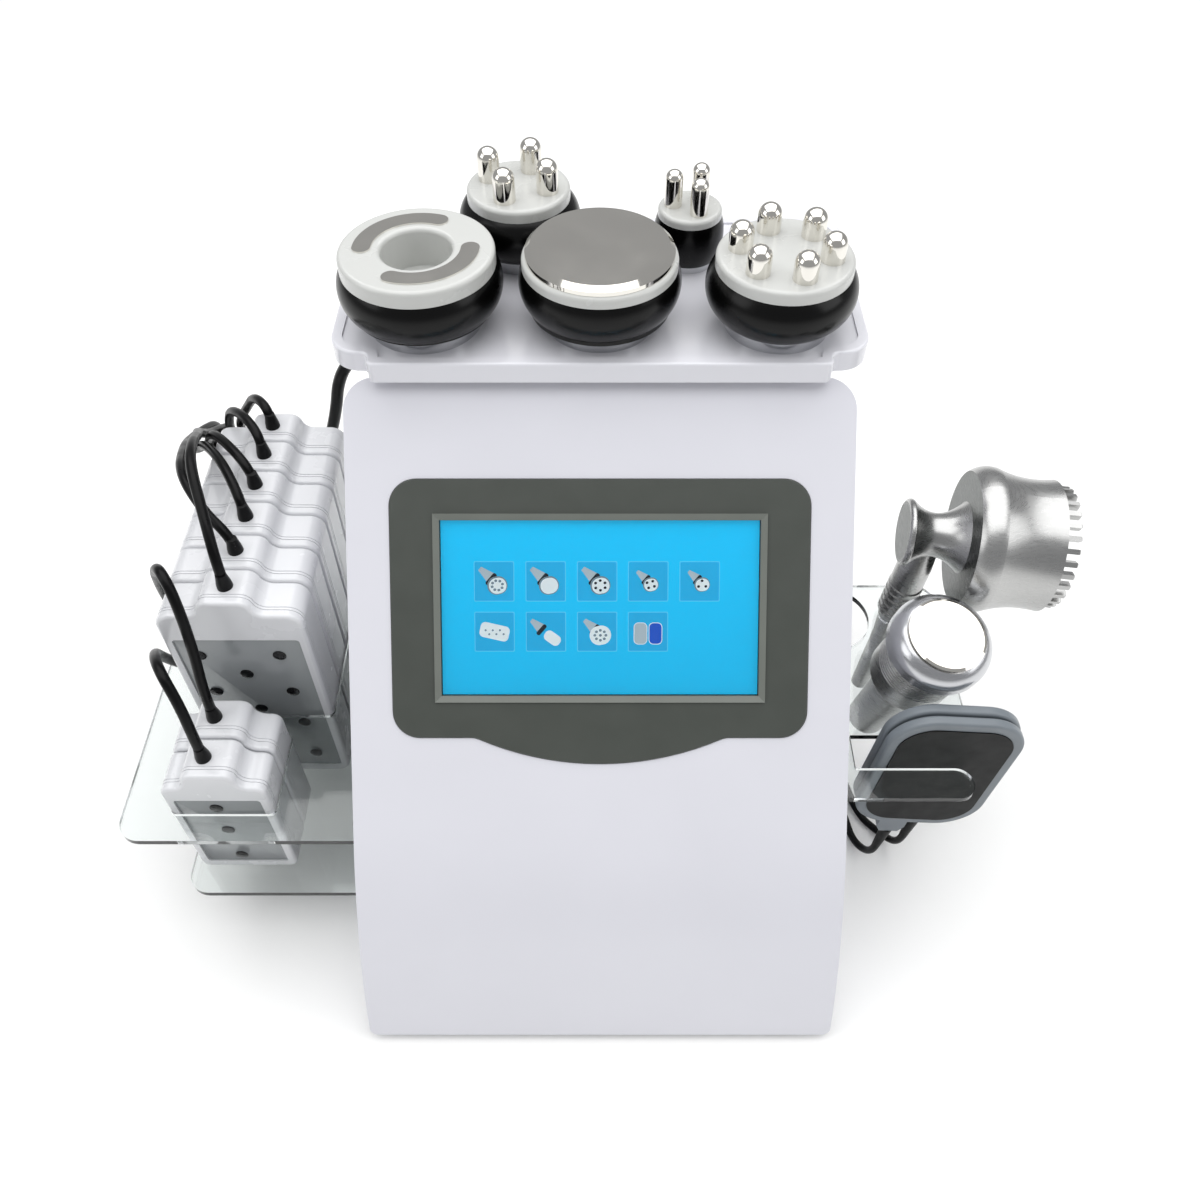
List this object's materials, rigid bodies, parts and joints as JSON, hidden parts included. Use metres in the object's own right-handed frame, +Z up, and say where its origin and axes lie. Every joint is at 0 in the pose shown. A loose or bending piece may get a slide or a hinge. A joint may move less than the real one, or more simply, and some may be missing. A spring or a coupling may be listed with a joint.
{
  "type": "body contouring console",
  "caption": "White desktop body contouring console with a tilted touch screen, a shelf of handpieces, clear side holders and laser pads",
  "frame": {"origin": "on the table, under the middle of the object's footprint", "axes": "+Z up, the screen faces -Y, the laser pads stand at -X"},
  "size_m": [0.5596, 0.3849, 0.3857],
  "materials": {
    "housing": "white moulded casing, satin gloss",
    "bezel": "dark olive grey surround, fine satin",
    "glass": "clear cover glass, polished",
    "electronics": "display and control board",
    "steel": "light grey coated sheet steel",
    "rubber": "moulded feet, matte",
    "connector": "moulded sockets with metal contacts",
    "black_plastic": "moulded, fine texture",
    "shelf": "white moulded shelf, glossy",
    "acrylic": "clear acrylic sheet with polished edges",
    "cable": "round cable jacket, satin",
    "silver": "satin anodised",
    "polished": "polished stainless steel",
    "bulb": "moulded grip, satin black",
    "cap": "pale grey moulded cap",
    "lens": "milky light plate",
    "pad_grey": "soft grey moulded back",
    "sole": "conductive black rubber",
    "laser_pad": "white moulded shells with a grey window"
  },
  "bodies": {
    "console": {"housing_shell": "housing", "screen_bezel": "bezel", "display_glass": "glass", "display_module": "electronics", "base_plate": "steel", "feet": "rubber", "rear_panel": "housing", "rear_connectors": "connector", "fan_frame": "black_plastic", "power_supply": "steel", "vacuum_pump": "black_plastic", "handle_shelf": "shelf", "shelf_bracket": "steel", "left_holder": "acrylic", "right_holder": "acrylic", "pad_leads": "cable", "pad_lead_trunk": "cable", "sole_leads": "cable", "lead_fittings": "black_plastic"},
    "rocker": {"power_switch": "black_plastic"},
    "fan": {"fan_rotor": "black_plastic"},
    "ring_head": {"ring_handle": "silver", "ring_bulb": "bulb", "ring_cap": "cap", "ring_arcs": "polished"},
    "cavitation_head": {"cavitation_handle": "silver", "cavitation_bulb": "bulb", "cavitation_rim": "cap", "cavitation_horn": "polished"},
    "six_head": {"six_handle": "silver", "six_bulb": "bulb", "six_cap": "cap", "six_pins": "polished"},
    "four_head": {"four_handle": "silver", "four_bulb": "bulb", "four_cap": "cap", "four_pins": "polished"},
    "three_head": {"three_handle": "silver", "three_bulb": "bulb", "three_cap": "cap", "three_pins": "polished"},
    "photon_head": {"photon_body": "silver", "photon_handle": "silver", "photon_comb": "silver", "photon_lens": "lens"},
    "cold_probe": {"probe_body": "silver", "probe_collar": "silver", "probe_face": "polished"},
    "front_electrode": {"front_sole_pad": "pad_grey", "front_sole": "sole"},
    "rear_electrode": {"rear_sole_pad": "pad_grey", "rear_sole": "sole"},
    "large_laser_1": {"large_pad_1": "laser_pad"},
    "large_laser_2": {"large_pad_2": "laser_pad"},
    "large_laser_3": {"large_pad_3": "laser_pad"},
    "large_laser_4": {"large_pad_4": "laser_pad"},
    "large_laser_5": {"large_pad_5": "laser_pad"},
    "large_laser_6": {"large_pad_6": "laser_pad"},
    "small_laser_1": {"small_pad_1": "laser_pad"},
    "small_laser_2": {"small_pad_2": "laser_pad"}
  },
  "joints": [
    {"name": "rocker_switch", "type": "hinge", "parent": "console", "child": "rocker", "pos_m": [0.04, 0.056, 0.04], "axis": [1, 0, 0], "range_deg": [-8, 8]},
    {"name": "fan_spin", "type": "hinge", "parent": "console", "child": "fan", "pos_m": [-0.04, 0.052, 0.046], "axis": [0, 1, 0], "continuous": true},
    {"name": "ring_lift", "type": "slide", "parent": "console", "child": "ring_head", "axis": [0, 0, 1], "range_m": [0, 0.17]},
    {"name": "cavitation_lift", "type": "slide", "parent": "console", "child": "cavitation_head", "axis": [0, 0, 1], "range_m": [0, 0.17]},
    {"name": "six_lift", "type": "slide", "parent": "console", "child": "six_head", "axis": [0, 0, 1], "range_m": [0, 0.17]},
    {"name": "four_lift", "type": "slide", "parent": "console", "child": "four_head", "axis": [0, 0, 1], "range_m": [0, 0.17]},
    {"name": "three_lift", "type": "slide", "parent": "console", "child": "three_head", "axis": [0, 0, 1], "range_m": [0, 0.17]},
    {"name": "photon_lift", "type": "slide", "parent": "console", "child": "photon_head", "axis": [0.0906, 0, 0.9959], "range_m": [0, 0.05]},
    {"name": "probe_lift", "type": "slide", "parent": "console", "child": "cold_probe", "axis": [0.1149, -0.2437, 0.963], "range_m": [0, 0.11]},
    {"name": "front_electrode_lift", "type": "slide", "parent": "console", "child": "front_electrode", "axis": [0.0872, 0, 0.9962], "range_m": [0, 0.05], "deforming": ["sole_leads"]},
    {"name": "rear_electrode_lift", "type": "slide", "parent": "console", "child": "rear_electrode", "axis": [0.0872, 0, 0.9962], "range_m": [0, 0.05], "deforming": ["sole_leads"]},
    {"name": "large_pad_1_lift", "type": "slide", "parent": "console", "child": "large_laser_1", "axis": [0, 0, 1], "range_m": [0, 0.07], "deforming": ["pad_leads"]},
    {"name": "large_pad_2_lift", "type": "slide", "parent": "console", "child": "large_laser_2", "axis": [0, 0, 1], "range_m": [0, 0.07], "deforming": ["pad_leads"]},
    {"name": "large_pad_3_lift", "type": "slide", "parent": "console", "child": "large_laser_3", "axis": [0, 0, 1], "range_m": [0, 0.07], "deforming": ["pad_leads"]},
    {"name": "large_pad_4_lift", "type": "slide", "parent": "console", "child": "large_laser_4", "axis": [0, 0, 1], "range_m": [0, 0.07], "deforming": ["pad_leads"]},
    {"name": "large_pad_5_lift", "type": "slide", "parent": "console", "child": "large_laser_5", "axis": [0, 0, 1], "range_m": [0, 0.07], "deforming": ["pad_leads"]},
    {"name": "large_pad_6_lift", "type": "slide", "parent": "console", "child": "large_laser_6", "axis": [0, 0, 1], "range_m": [0, 0.07], "deforming": ["pad_leads"]},
    {"name": "small_pad_1_lift", "type": "slide", "parent": "console", "child": "small_laser_1", "axis": [0, 0, 1], "range_m": [0, 0.07], "deforming": ["pad_leads"]},
    {"name": "small_pad_2_lift", "type": "slide", "parent": "console", "child": "small_laser_2", "axis": [0, 0, 1], "range_m": [0, 0.07], "deforming": ["pad_leads"]}
  ]
}
